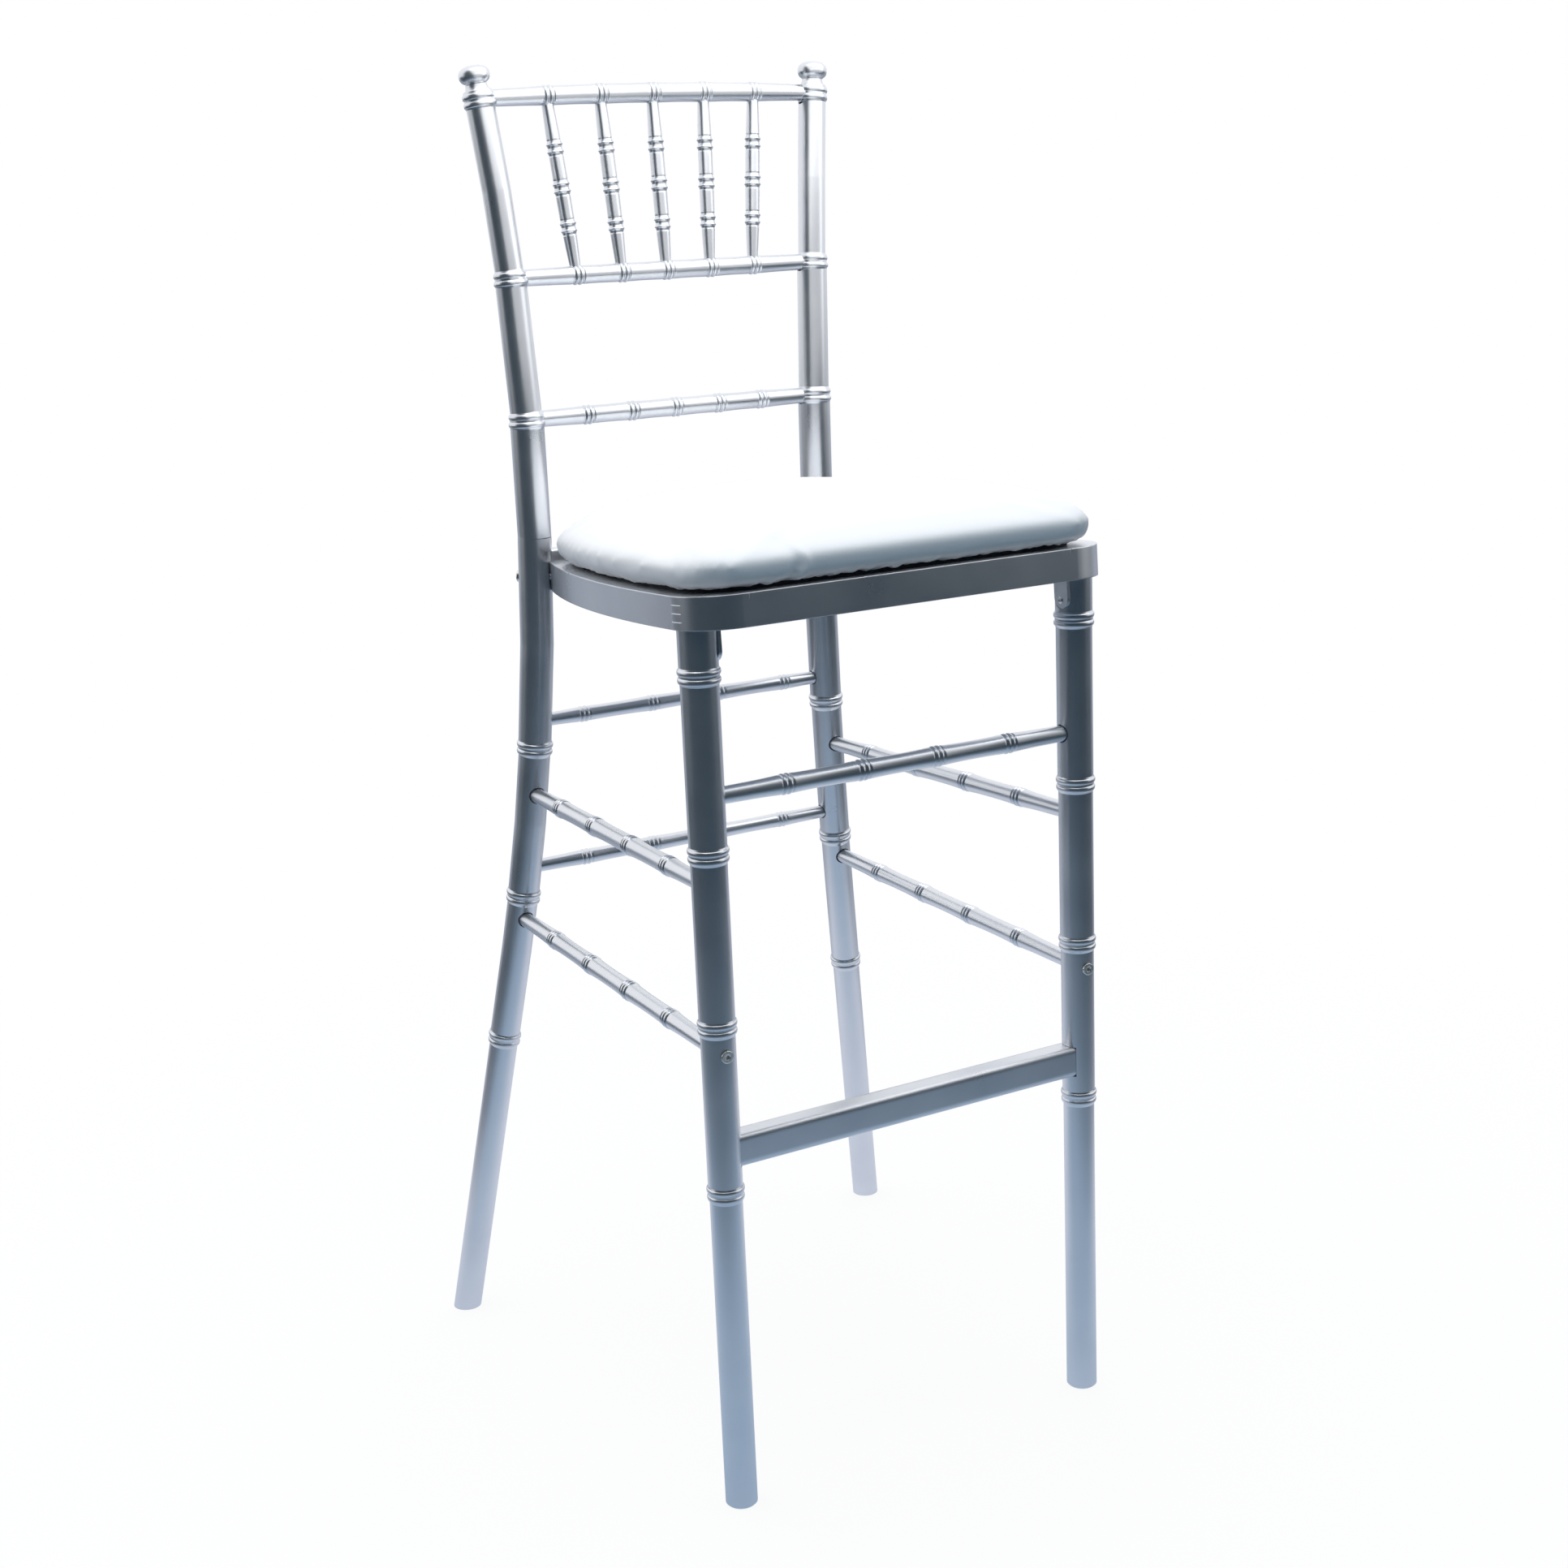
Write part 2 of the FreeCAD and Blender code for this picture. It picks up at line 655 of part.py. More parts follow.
def front_leg():
    rings = [S["leg_ring_top"] - S["leg_ring_pitch"] * index for index in reversed(range(4))]
    breaks = [dim(0)] + rings + [S["seat_height"]]
    radii = [leg_radius((low + high) / 2) for low, high in zip(breaks, breaks[1:])]
    stations = [(dim(0), radii[0] - S["foot_chamfer"]), (S["foot_chamfer"], radii[0])]
    for index, height in enumerate(rings):
        stations += double_bead(height, radii[index], radii[index + 1])
    stations.append((S["seat_height"], radii[-1]))
    body = turned("right_front_leg", stations, FreeCAD.Placement(leg_axis(0), FreeCAD.Rotation()))
    wide = S["leg_top_dia"] * 2
    corner = on_seat(LEG_X - wide.value / 2, LEG_SEAT_Y - wide.value / 2, 0)
    block(body, "Subtractive", (wide, wide, wide), corner)
    root = S["leg_tenon_dia"] / 2
    tenon_foot = along_axis(LEG_TOP - ZAXIS * root.value, ZAXIS)
    cylinder(body, "Additive", root, S["leg_tenon_length"] + root, tenon_foot)
    socket(body, "front_stretcher", 1, S["stretcher_dia"])
    socket(body, "upper_side_stretcher", 0, S["stretcher_dia"])
    socket(body, "lower_side_stretcher", 0, S["stretcher_dia"])
    screw_bore(body, LEG_SCREW_POINT, LEG_SCREW_WAY)
    screw_spotface(body, LEG_SCREW_POINT, LEG_SCREW_WAY, LEG_SCREW_RADIUS)
    gap = S["slip_gap"]
    mortise = (wide, S["footrest_deep"] + gap * 2, S["footrest_tall"] + gap * 2)
    footrest_corner = FreeCAD.Vector(
        FOOTREST_HALF - wide.value,
        -V["leg_y"] - mortise[1].value / 2,
        V["footrest_height"] - mortise[2].value / 2,
    )
    block(body, "Subtractive", mortise, FreeCAD.Placement(footrest_corner, FreeCAD.Rotation()))
    bracket_recess(body)
    return body


# Leg brackets: a steel angle under the front rail, with a tongue let into a flat on the leg

def bracket_point(below):
    """The middle of the bracket's seat on the leg, at a distance below the seat frame."""
    return on_seat(LEG_X - V["bracket_set"], LEG_SEAT_Y, -below)


def tongue_end():
    """How far below the seat frame the round end of a bracket's tongue has its centre."""
    return V["bracket_drop"] - V["bracket_width"] / 2


def bracket_recess(body):
    """The flat with a round lower end that a bracket's tongue lies in."""
    half = S["bracket_width"] / 2 + S["slip_gap"]
    deep = S["leg_top_dia"] / 2
    cylinder(body, "Subtractive", half, deep, along_axis(bracket_point(tongue_end()).Base, -XAXIS))
    inner = LEG_X - V["bracket_set"] - deep.value
    corner = on_seat(inner, LEG_SEAT_Y - half.value, -tongue_end())
    block(body, "Subtractive", (deep, half * 2, S["bracket_drop"]), corner)


def leg_bracket():
    body = new_body("right_leg_bracket", SEAT_FRAME)
    thick = S["bracket_thick"]
    half = S["bracket_width"] / 2
    middle = dim(LEG_SEAT_Y)
    face = FreeCAD.Vector(0, 0, LEG_X - V["bracket_set"] - V["bracket_thick"])
    sketch = new_sketch(body, "YZ_Plane", FreeCAD.Placement(face, FreeCAD.Rotation()))
    straight = half - S["bracket_drop"]
    draw_outline(sketch, [
        (middle - half, 0),
        (middle - half, straight, half),
        (middle, -S["bracket_drop"], half),
        (middle + half, straight),
        (middle + half, 0),
    ])
    pad(body, sketch, thick)
    reach = S["bracket_reach"]
    corner = on_seat(LEG_X - V["bracket_set"] - reach.value, LEG_SEAT_Y - half.value, -thick)
    block(body, "Additive", (reach, half * 2, thick), corner)
    return body


# Seat frame: front and side rails finger-jointed at the corners, a rear rail and a panel

FINGERS = 4


def finger_cuts(body, levels, side):
    """Clears the corner block of a rail at every other finger."""
    wide = S["seat_rail_width"]
    tall = S["seat_thick"] / FINGERS
    inner = V["seat_half_width"] - V["seat_rail_width"]
    start = inner if side > 0 else -inner - 2 * wide.value
    for level in levels:
        corner = on_seat(start, -V["seat_rail_width"], tall.value * level)
        block(body, "Subtractive", (wide * 2, wide * 2, tall), corner)


def panel_outline(gap):
    """The seat panel's outline, or that of its recess."""
    front_half = S["seat_half_width"] - S["seat_rail_width"] + S["panel_lap"] + gap
    rear_half = S["seat_rear_half"] - S["seat_rail_width"] + S["panel_lap"] + gap
    front = S["seat_rail_width"] - S["panel_lap"] - gap
    rear = dim(REAR_RAIL_Y) - S["slip_gap"] + gap
    return [(-front_half, front), (front_half, front), (rear_half, rear), (-rear_half, rear)]


def panel_recess(body):
    top = FreeCAD.Placement(FreeCAD.Vector(0, 0, V["seat_thick"]), FreeCAD.Rotation())
    sketch = new_sketch(body, "XY_Plane", top)
    draw_outline(sketch, panel_outline(S["slip_gap"]))
    pocket(body, sketch, S["panel_thick"] + S["panel_sink"])


def leg_tenon_bore(body, side):
    foot = FreeCAD.Vector(side * LEG_TOP.x, LEG_TOP.y, LEG_TOP.z - V["leg_tenon_dia"])
    length = S["leg_tenon_length"] + S["leg_tenon_dia"] + S["socket_gap"]
    bore(body, foot, ZAXIS, S["leg_tenon_dia"] / 2 + S["socket_gap"], length)


def front_seat_rail():
    body = new_body("seat_front_rail", SEAT_FRAME)
    sketch = new_sketch(body, "XY_Plane")
    half = S["seat_half_width"]
    wide = S["seat_rail_width"]
    corner = S["seat_corner"]
    draw_outline(sketch, [
        (-(half - corner), 0),
        (half - corner, 0, corner),
        (half, corner),
        (half, wide),
        (-half, wide),
        (-half, corner, corner),
    ])
    pad(body, sketch, S["seat_thick"])
    panel_recess(body)
    for side in (1, -1):
        finger_cuts(body, (1, 3), side)
        leg_tenon_bore(body, side)
    return body


def side_sweep():
    """The radius of the frame's bowed sides, which leave its front corners square to the front."""
    run = dim(REAR_RAIL_Y) - S["seat_rail_width"]
    draw_in = S["seat_half_width"] - S["seat_rear_half"]
    return (run * run + draw_in * draw_in) / (draw_in * 2)


def side_seat_rail():
    body = new_body("seat_right_rail", SEAT_FRAME)
    sketch = new_sketch(body, "XY_Plane")
    half = S["seat_half_width"]
    wide = S["seat_rail_width"]
    corner = S["seat_corner"]
    rear = dim(REAR_RAIL_Y)
    rear_half = S["seat_rear_half"]
    sweep = side_sweep()
    draw_outline(sketch, [
        (half - wide, 0),
        (half - corner, 0, corner),
        (half, corner),
        (half, wide, sweep),
        (rear_half, rear),
        (rear_half - wide, rear),
        (half - wide, wide),
    ])
    pad(body, sketch, S["seat_thick"])
    panel_recess(body)
    finger_cuts(body, (0, 2), 1)
    leg_tenon_bore(body, 1)
    slope = post_bend(SEAT_SCREW_POINT.z)[1]
    lean = FreeCAD.Rotation(YAXIS, -math.degrees(slope)).multVec(ZAXIS)
    post_way = POST_FRAME.Rotation.multVec(lean)
    cope = SEAT_SCREW_RADIUS + S["socket_gap"]
    below = SEAT_SCREW_POINT - post_way * V["seat_thick"] * 2
    bore(body, below, post_way, cope, S["seat_thick"] * 4)
    screw_bore(body, SEAT_SCREW_POINT, SEAT_SCREW_WAY)
    return body


def rounded_bar(label, placement, half_length, low, high, rounds):
    """A bar along X with a section from low to high (y, z) and rounded lower and upper edges."""
    body = new_body(label, placement)
    start = FreeCAD.Placement(FreeCAD.Vector(0, 0, -half_length), FreeCAD.Rotation())
    sketch = new_sketch(body, "YZ_Plane", start)
    (y0, z0), (y1, z1) = low, high
    bottom, top = rounds
    outline = [(y0, z0), (y1, z0)]
    if bottom:
        outline = [(y0, z0 + bottom, bottom), (y0 + bottom, z0)]
        outline += [(y1 - bottom, z0, bottom), (y1, z0 + bottom)]
    outline += [(y1, z1 - top, top), (y1 - top, z1), (y0 + top, z1, top), (y0, z1 - top)]
    draw_outline(sketch, outline)
    pad(body, sketch, dim(2 * half_length))
    return body


def rear_seat_rail():
    low = (dim(REAR_RAIL_Y), dim(0))
    high = (dim(REAR_RAIL_Y) + S["rear_rail_thick"], REAR_RAIL_TALL)
    rounds = (None, S["rear_rail_round"])
    body = rounded_bar("seat_rear_rail", SEAT_FRAME, REAR_RAIL_HALF, low, high, rounds)
    screw_bore(body, SEAT_SCREW_POINT, SEAT_SCREW_WAY)
    screw_bore(body, flipped(SEAT_SCREW_POINT), flipped(SEAT_SCREW_WAY))
    return body


def seat_panel():
    floor = V["seat_thick"] - V["panel_thick"] - V["panel_sink"]
    body = new_body("seat_panel", on_seat(0, 0, floor))
    sketch = new_sketch(body, "XY_Plane")
    draw_outline(sketch, panel_outline(dim(0)))
    pad(body, sketch, S["panel_thick"])
    return body


# Cushion: a crowned pad on a base board, held to the panel by hook and loop tape

def cushion_outline(inset):
    """The frame's bowed outline with tangent corners, at a distance inside the widest place."""
    edge = V["cushion_inset"] + inset
    front = edge
    rear = REAR_RAIL_Y - V["cushion_rear_gap"] - inset
    sweep = side_sweep().value
    centre = FreeCAD.Vector(V["seat_half_width"] - sweep, V["seat_rail_width"], 0)
    side = sweep - edge
    corner = V["cushion_corner"] * (1 - inset / (V["cushion_corner"] + V["cushion_fall"]))

    def corner_centre(y):
        reach = math.sqrt((side - corner) ** 2 - (y - centre.y) ** 2)
        return FreeCAD.Vector(centre.x + reach, y, 0)

    def side_point(spot):
        return centre + (spot - centre).normalize() * side

    front_round = corner_centre(front + corner)
    rear_round = corner_centre(rear - corner)
    front_side = side_point(front_round)
    rear_side = side_point(rear_round)
    return [
        (-front_round.x, front),
        (front_round.x, front, corner),
        (front_side.x, front_side.y, side),
        (rear_side.x, rear_side.y, corner),
        (rear_round.x, rear),
        (-rear_round.x, rear, corner),
        (-rear_side.x, rear_side.y, side),
        (-front_side.x, front_side.y, corner),
    ]


def cushion_pad():
    """Sections from the drawn-in hem over the widest place to the flat of the crown."""
    body = new_body("cushion", on_seat(0, 0, S["seat_thick"] + S["cushion_hem"]))
    rise = V["cushion_crown"] - V["cushion_hem"]
    fall = V["cushion_fall"]
    # each section's share of the fall, and its share of the rise
    dome = [(0.0, 0.25), (0.13, 0.57), (0.45, 0.85), (1.0, 1.0)]
    levels = [(V["cushion_draw"], 0.0)] + [(fall * part, share) for part, share in dome]
    sections = []
    for inset, share in levels:
        level = FreeCAD.Placement(FreeCAD.Vector(0, 0, rise * share), FreeCAD.Rotation())
        sketch = new_sketch(body, "XY_Plane", level)
        draw_outline(sketch, cushion_outline(inset))
        sections.append(sketch)
    loft = body.newObject("PartDesign::AdditiveLoft", "cushion_crown")
    loft.Profile = sections[0]
    loft.Sections = sections[1:]
    loft.Ruled = True
    return body


def cushion_board():
    body = new_body("cushion_board", on_seat(0, 0, S["seat_thick"]))
    sketch = new_sketch(body, "XY_Plane")
    draw_outline(sketch, cushion_outline(V["board_inset"]))
    pad(body, sketch, S["cushion_hem"])
    return body


def tape(label, low):
    """The right-hand strip of tape with its lower face at a height in the seat's frame."""
    x = (V["tape_spacing"] - V["tape_width"]) / 2
    y = (REAR_RAIL_Y - V["tape_length"]) / 2
    strip = doc.addObject("Part::Box", label)
    strip.Placement = on_seat(x, y, low)
    for side, size in (("Length", "tape_width"), ("Width", "tape_length"), ("Height", "tape_thick")):
        strip.setExpression(side, S[size].text)
    return strip


# Assembly, from the floor up

LEG_SCREW_POINT = leg_axis(V["side_lower_front"])
LEG_SCREW_WAY = run_way("lower_side_stretcher")
LEG_SCREW_RADIUS = leg_radius(S["side_lower_front"])
SEAT_SCREW_POINT = post_axis(on_seat(0, REAR_RAIL_Y, V["seat_thick"] / 2).Base.z)
SEAT_SCREW_RADIUS = post_radius(S["seat_height"])
REAR_RAIL_HALF = POST_AT_SEAT.x - V["post_seat_dia"] / 2 + V["rear_rail_housing"]
REAR_RAIL_TALL = S["seat_thick"] + S["rear_rail_rise"]
FOOTREST_HALF = LEG_X - V["socket_floor"]

keep_pair(front_leg(), "front_leg")
keep_pair(back_post(), "back_post")

keep(stick("front_stretcher", S["stretcher_dia"]))
for name in ("upper_rear_stretcher", "lower_rear_stretcher"):
    keep(stick(name, S["rear_stretcher_dia"]))
keep_pair(stick("upper_side_stretcher", S["stretcher_dia"]), "upper_side_stretcher")
lower_side = stick("lower_side_stretcher", S["stretcher_dia"])
screw_bore(lower_side, LEG_SCREW_POINT, LEG_SCREW_WAY)
keep_pair(lower_side, "lower_side_stretcher")

footrest_low = (-S["footrest_deep"] / 2, -S["footrest_tall"] / 2)
footrest_high = (S["footrest_deep"] / 2, S["footrest_tall"] / 2)
footrest_place = FreeCAD.Vector(0, -V["leg_y"], V["footrest_height"])
keep(rounded_bar(
    "footrest_bar",
    FreeCAD.Placement(footrest_place, FreeCAD.Rotation()),
    FOOTREST_HALF,
    footrest_low,
    footrest_high,
    (S["footrest_round"], S["footrest_round"]),
))

keep(front_seat_rail())
keep_pair(side_seat_rail(), "seat_rail")
keep(rear_seat_rail())
keep(seat_panel())
keep_pair(leg_bracket(), "leg_bracket")

crest = stick("crest_rail", S["back_rail_dia"])
middle = stick("middle_back_rail", S["back_rail_dia"])
for place in SPINDLES:
    name = f"spindle_{place + 3}"
    keep(spindle(name))
    socket(middle, name, 0, S["spindle_end_dia"])
    socket(crest, name, 1, S["spindle_end_dia"])
keep(crest)
keep(middle)
keep(stick("lower_back_rail", S["back_rail_dia"]))

leg_screw = connecting_screw("stretcher_screw", LEG_SCREW_POINT, LEG_SCREW_WAY, LEG_SCREW_RADIUS)
seat_screw = connecting_screw("seat_screw", SEAT_SCREW_POINT, SEAT_SCREW_WAY, SEAT_SCREW_RADIUS)
keep_group([leg_screw], "stretcher_screws")
keep_group([seat_screw], "seat_screws")

panel_top = V["seat_thick"] - V["panel_sink"]
keep_group([tape("loop_strip", panel_top)], "loop_tapes")
keep_group([tape("hook_strip", V["seat_thick"] - V["tape_thick"])], "hook_tapes")
keep(cushion_board())
keep(cushion_pad())

doc.recompute()
for thing in doc.Objects:
    if "Invalid" in thing.State or "Error" in thing.State:
        raise RuntimeError(f"{thing.Label} did not rebuild: {thing.State}")
for thing in PARTS:
    if thing.Shape.isNull() or not thing.Shape.isValid():
        raise RuntimeError(f"{thing.Label} has no valid shape")

os.makedirs("parts", exist_ok=True)
for thing in PARTS:
    thing.Shape.exportStep(f"parts/{thing.Label}.step")
    print(thing.Label, len(thing.Shape.Solids), round(thing.Shape.Volume))
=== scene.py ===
import math

import bmesh
import bpy
import numpy as np
from mathutils import Matrix, Vector, noise


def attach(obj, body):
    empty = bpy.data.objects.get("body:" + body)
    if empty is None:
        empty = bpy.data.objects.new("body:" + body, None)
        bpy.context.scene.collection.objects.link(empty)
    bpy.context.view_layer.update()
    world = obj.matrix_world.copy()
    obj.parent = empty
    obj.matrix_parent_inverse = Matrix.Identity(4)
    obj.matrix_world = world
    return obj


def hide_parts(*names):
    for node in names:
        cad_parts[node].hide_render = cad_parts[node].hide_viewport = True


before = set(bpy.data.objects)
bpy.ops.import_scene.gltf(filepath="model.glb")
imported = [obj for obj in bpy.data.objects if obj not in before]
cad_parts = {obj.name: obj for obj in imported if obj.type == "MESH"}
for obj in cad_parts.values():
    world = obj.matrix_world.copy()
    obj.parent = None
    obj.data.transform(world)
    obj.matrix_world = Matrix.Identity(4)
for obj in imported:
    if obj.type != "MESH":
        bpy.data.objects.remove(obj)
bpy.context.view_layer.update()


# Front legs. Two tapered, turned beech legs, sprayed with bright silver lacquer.
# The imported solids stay; the rounded double beads are turned here over their plain
# rings, because a lathe leaves them fully round.
MM = 0.001


def add(tree, kind, inputs=None, **settings):
    """Adds a shader node with its settings, and sets or links its inputs."""
    made = tree.nodes.new(kind)
    for name, value in settings.items():
        setattr(made, name, value)
    for socket, value in (inputs or {}).items():
        if isinstance(value, bpy.types.NodeSocket):
            tree.links.new(value, made.inputs[socket])
        else:
            made.inputs[socket].default_value = value
    return made


def reckon(tree, operation, *values, **settings):
    """The result of a maths node on values and sockets."""
    return add(tree, "ShaderNodeMath", dict(enumerate(values)), operation=operation, **settings).outputs[0]


def vector(tree, operation, *values):
    """The outputs of a vector maths node on values and sockets."""
    return add(tree, "ShaderNodeVectorMath", dict(enumerate(values)), operation=operation).outputs


def blend(tree, share, first, second):
    """Mixes two colours, each a value or a socket."""
    return add(tree, "ShaderNodeMix", {0: share, 6: first, 7: second}, data_type="RGBA").outputs[2]


def mottle(tree, place, scale, detail, distortion=0.0):
    """An uneven value over the surface."""
    return add(tree, "ShaderNodeTexNoise", {"Vector": place, "Scale": scale, "Detail": detail,
                                            "Distortion": distortion}).outputs["Fac"]


def ranged(tree, value, low, high):
    """Maps a 0.3 to 0.7 noise value to low to high."""
    return add(tree, "ShaderNodeMapRange",
               {"Value": value, "From Min": 0.3, "From Max": 0.7, "To Min": low, "To Max": high}).outputs[0]


def relief(tree, height, strength, distance):
    """A normal from a height over the surface."""
    return add(tree, "ShaderNodeBump",
               {"Strength": strength, "Distance": distance, "Height": height}).outputs[0]


def shader_group(name, inputs, outputs):
    """A shared effect: the group's tree, its input node and its output node."""
    tree = bpy.data.node_groups.new(name, "ShaderNodeTree")
    for label in inputs:
        tree.interface.new_socket(label, in_out="INPUT", socket_type="NodeSocketVector")
    for label in outputs:
        tree.interface.new_socket(label, in_out="OUTPUT", socket_type="NodeSocketFloat")
    return tree, tree.nodes.new("NodeGroupInput"), tree.nodes.new("NodeGroupOutput")


coat_tree, coat_in, coat_out = shader_group(
    "silver_coat", ["Vector", "Grain"], ["Tone", "Ding", "Roughness", "Height"])
coat_at = coat_in.outputs["Vector"]
coat_stretched = vector(coat_tree, "MULTIPLY", coat_at, coat_in.outputs["Grain"])["Vector"]
coat_grain = mottle(coat_tree, coat_stretched, 1.0, 4.0)
coat_peel = mottle(coat_tree, coat_at, 340.0, 1.0)
coat_cloud = mottle(coat_tree, coat_at, 17.0, 3.0)
coat_cells = add(coat_tree, "ShaderNodeTexVoronoi", {"Vector": coat_at, "Scale": 42.0}).outputs
ding_size, ding_rarity, ding_depth, grain_share = 0.05, 0.95, -0.9, 0.35
coat_spot = reckon(coat_tree, "LESS_THAN", coat_cells["Distance"], ding_size)
coat_rare = reckon(coat_tree, "GREATER_THAN", coat_cells["Color"], ding_rarity)
coat_ding = reckon(coat_tree, "MULTIPLY", coat_spot, coat_rare)
coat_rise = reckon(coat_tree, "MULTIPLY_ADD", coat_grain, grain_share, coat_peel)
coat_pitted = reckon(coat_tree, "MULTIPLY_ADD", coat_ding, ding_depth, coat_rise)
coat_tree.links.new(ranged(coat_tree, coat_cloud, 0.0, 1.0), coat_out.inputs["Tone"])
coat_tree.links.new(ranged(coat_tree, coat_cloud, 0.27, 0.33), coat_out.inputs["Roughness"])
coat_tree.links.new(coat_ding, coat_out.inputs["Ding"])
coat_tree.links.new(coat_pitted, coat_out.inputs["Height"])


def new_material(name):
    """A material, its node tree and the place on the piece that its patterns read."""
    material = bpy.data.materials.new(name)
    material.use_nodes = True
    tree = material.node_tree
    return material, tree, add(tree, "ShaderNodeTexCoord").outputs["Object"]


def finish(tree, colour, roughness, normal, metallic=0.0):
    """Links a finish to the material's shader."""
    shader = tree.nodes["Principled BSDF"].inputs
    shader["Metallic"].default_value = metallic
    tree.links.new(colour, shader["Base Color"])
    tree.links.new(roughness, shader["Roughness"])
    tree.links.new(normal, shader["Normal"])


def silver(name, grain):
    """Satin silver paint on beech whose grain runs along the small number's axis."""
    dull_silver, bright_silver = (0.74, 0.757, 0.79, 1), (0.81, 0.825, 0.85, 1)
    ding_grey = (0.30, 0.31, 0.34, 1)
    material, tree, place = new_material(name)
    coat = add(tree, "ShaderNodeGroup", {"Vector": place, "Grain": grain}, node_tree=coat_tree).outputs
    base = blend(tree, coat["Tone"], dull_silver, bright_silver)
    worn = blend(tree, coat["Ding"], base, ding_grey)
    finish(tree, worn, coat["Roughness"], relief(tree, coat["Height"], 0.012, 0.5 * MM), metallic=0.93)
    return material


def dress(material, *names):
    """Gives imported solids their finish."""
    for name in names:
        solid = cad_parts[name].data
        solid.materials.clear()
        solid.materials.append(material)


def turn(bm, section, place, loop=False, steps=48):
    """Spins a section of (along, radius) points in mm round Z, and puts the closed form at place."""
    old = set(bm.verts)
    points = [bm.verts.new((radius * MM, 0, along * MM)) for along, radius in section]
    lines = [bm.edges.new(pair) for pair in zip(points, points[1:])]
    if loop:
        lines.append(bm.edges.new((points[-1], points[0])))
    bmesh.ops.spin(bm, geom=points + lines, cent=(0, 0, 0), axis=(0, 0, 1), angle=math.tau,
                   steps=steps, use_merge=True)
    bmesh.ops.remove_doubles(bm, verts=[vert for vert in bm.verts if vert not in old], dist=1e-6)
    bmesh.ops.transform(bm, matrix=place, verts=[vert for vert in bm.verts if vert not in old])


def make_piece(name, bm, material, body="stool"):
    """Makes a smooth closed piece of the mesh, which rides on a body."""
    bmesh.ops.recalc_face_normals(bm, faces=bm.faces)
    for face in bm.faces:
        face.smooth = True
    mesh = bpy.data.meshes.new(name)
    bm.to_mesh(mesh)
    bm.free()
    mesh.materials.append(material)
    piece = bpy.data.objects.new(name, mesh)
    bpy.context.scene.collection.objects.link(piece)
    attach(piece, body)
    return piece


def bead_pair(below, above):
    """Section in mm of two round beads with a flat groove between, between lengths of two radii."""
    reach, pitch, half, proud = 7.8, 3.3, 2.3, 1.1
    floor, ramp_long, sunk, inside = 0.66, 2.4, 0.15, 2
    steps = 26
    section = []
    for step in range(-steps, steps + 1):
        along = reach * step / steps
        share = (along + reach) / (2 * reach)
        ramp = min(1.0, (reach - abs(along)) / ramp_long)
        flare = floor * ramp * ramp * (3 - 2 * ramp)
        bead = proud * math.sqrt(max(0.0, 1 - ((abs(along) - pitch) / half) ** 2))
        section.append((along, below + (above - below) * share - sunk + flare + bead))
    return section + [(reach, above - inside), (-reach, below - inside)]


grain_across, grain_along = 260, 9
upright_silver = silver("silver_upright", (grain_across, grain_across, grain_along))
dress(upright_silver, "right_front_leg", "left_front_leg")
leg_x, leg_y = 177.0, -221.57
leg_beads = [281, 423, 565, 707]
leg_radii = [13.49, 14.23, 14.72, 15.22, 15.58]
for side, sign in (("right", 1), ("left", -1)):
    bm = bmesh.new()
    for height, below, above in zip(leg_beads, leg_radii, leg_radii[1:]):
        turn(bm, bead_pair(below, above),
             Matrix.Translation((sign * leg_x * MM, leg_y * MM, height * MM)), loop=True)
    make_piece(f"{side}_leg_beads", bm, upright_silver)


# Back posts. Bent, splayed beech posts that run from the floor to the crest in one
# piece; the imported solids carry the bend. Six double beads sit along each, and a
# flattened ball finial is turned on top.
def post_place(height, sign):
    """Place on a post's bent axis at a height along it in mm, with Z along the post there."""
    foot_x, foot_y = 233.7, 244.83
    turn_out, tip = math.radians(45), math.radians(0.7)
    lean, straight, bow = math.radians(12.34), 380.0, 2150.0
    slope, offset = lean, -math.tan(lean) * min(height, straight)
    if height > straight:
        slope = math.asin(math.sin(lean) - (height - straight) / bow)
        offset -= bow * (math.cos(slope) - math.cos(lean))
    place = (Matrix.Translation((foot_x * MM, foot_y * MM, 0))
             @ Matrix.Rotation(turn_out, 4, "Z")
             @ Matrix.Rotation(tip, 4, "X")
             @ Matrix.Translation((offset * MM, 0, height * MM))
             @ Matrix.Rotation(-slope, 4, "Y"))
    return Matrix.Diagonal((sign, 1, 1, 1)) @ place


def finial():
    """Section in mm of the cove, neck and flattened ball above the crest's beads."""
    start, rim, cove_tall, cove_deep, cove_curve = 5.5, 13.2, 7.9, 3.8, 0.8
    ball, middle, tall, end_curve, side_curve = 13.6, 21.0, 8.2, 0.85, 0.78
    cove_steps, ball_steps = 12, 24
    section = [(start, 0), (start, rim)]
    for step in range(1, cove_steps + 1):
        share = step / cove_steps
        section.append((start + cove_tall * share,
                        rim - cove_deep * math.sin(share * math.pi / 2) ** cove_curve))
    for step in range(2, ball_steps + 1):
        turned = math.pi * step / ball_steps
        across, along = math.sin(turned), -math.cos(turned)
        section.append((middle + tall * math.copysign(abs(along) ** end_curve, along),
                        ball * across ** side_curve))
    section[-1] = (middle + tall, 0)
    return section


dress(upright_silver, "right_back_post", "left_back_post")
post_beads = [289, 433, 577, 876, 998.5, 1148.5]
post_radii = [(13.27, 14.06), (14.06, 14.57), (14.57, 15.16), (15.02, 13.96), (13.96, 12.70), (12.70, 12.70)]
for side, sign in (("right", 1), ("left", -1)):
    bm = bmesh.new()
    for height, (below, above) in zip(post_beads, post_radii):
        turn(bm, bead_pair(below, above), post_place(height, sign), loop=True)
    turn(bm, finial(), post_place(post_beads[-1], sign))
    make_piece(f"{side}_post_beads", bm, upright_silver)


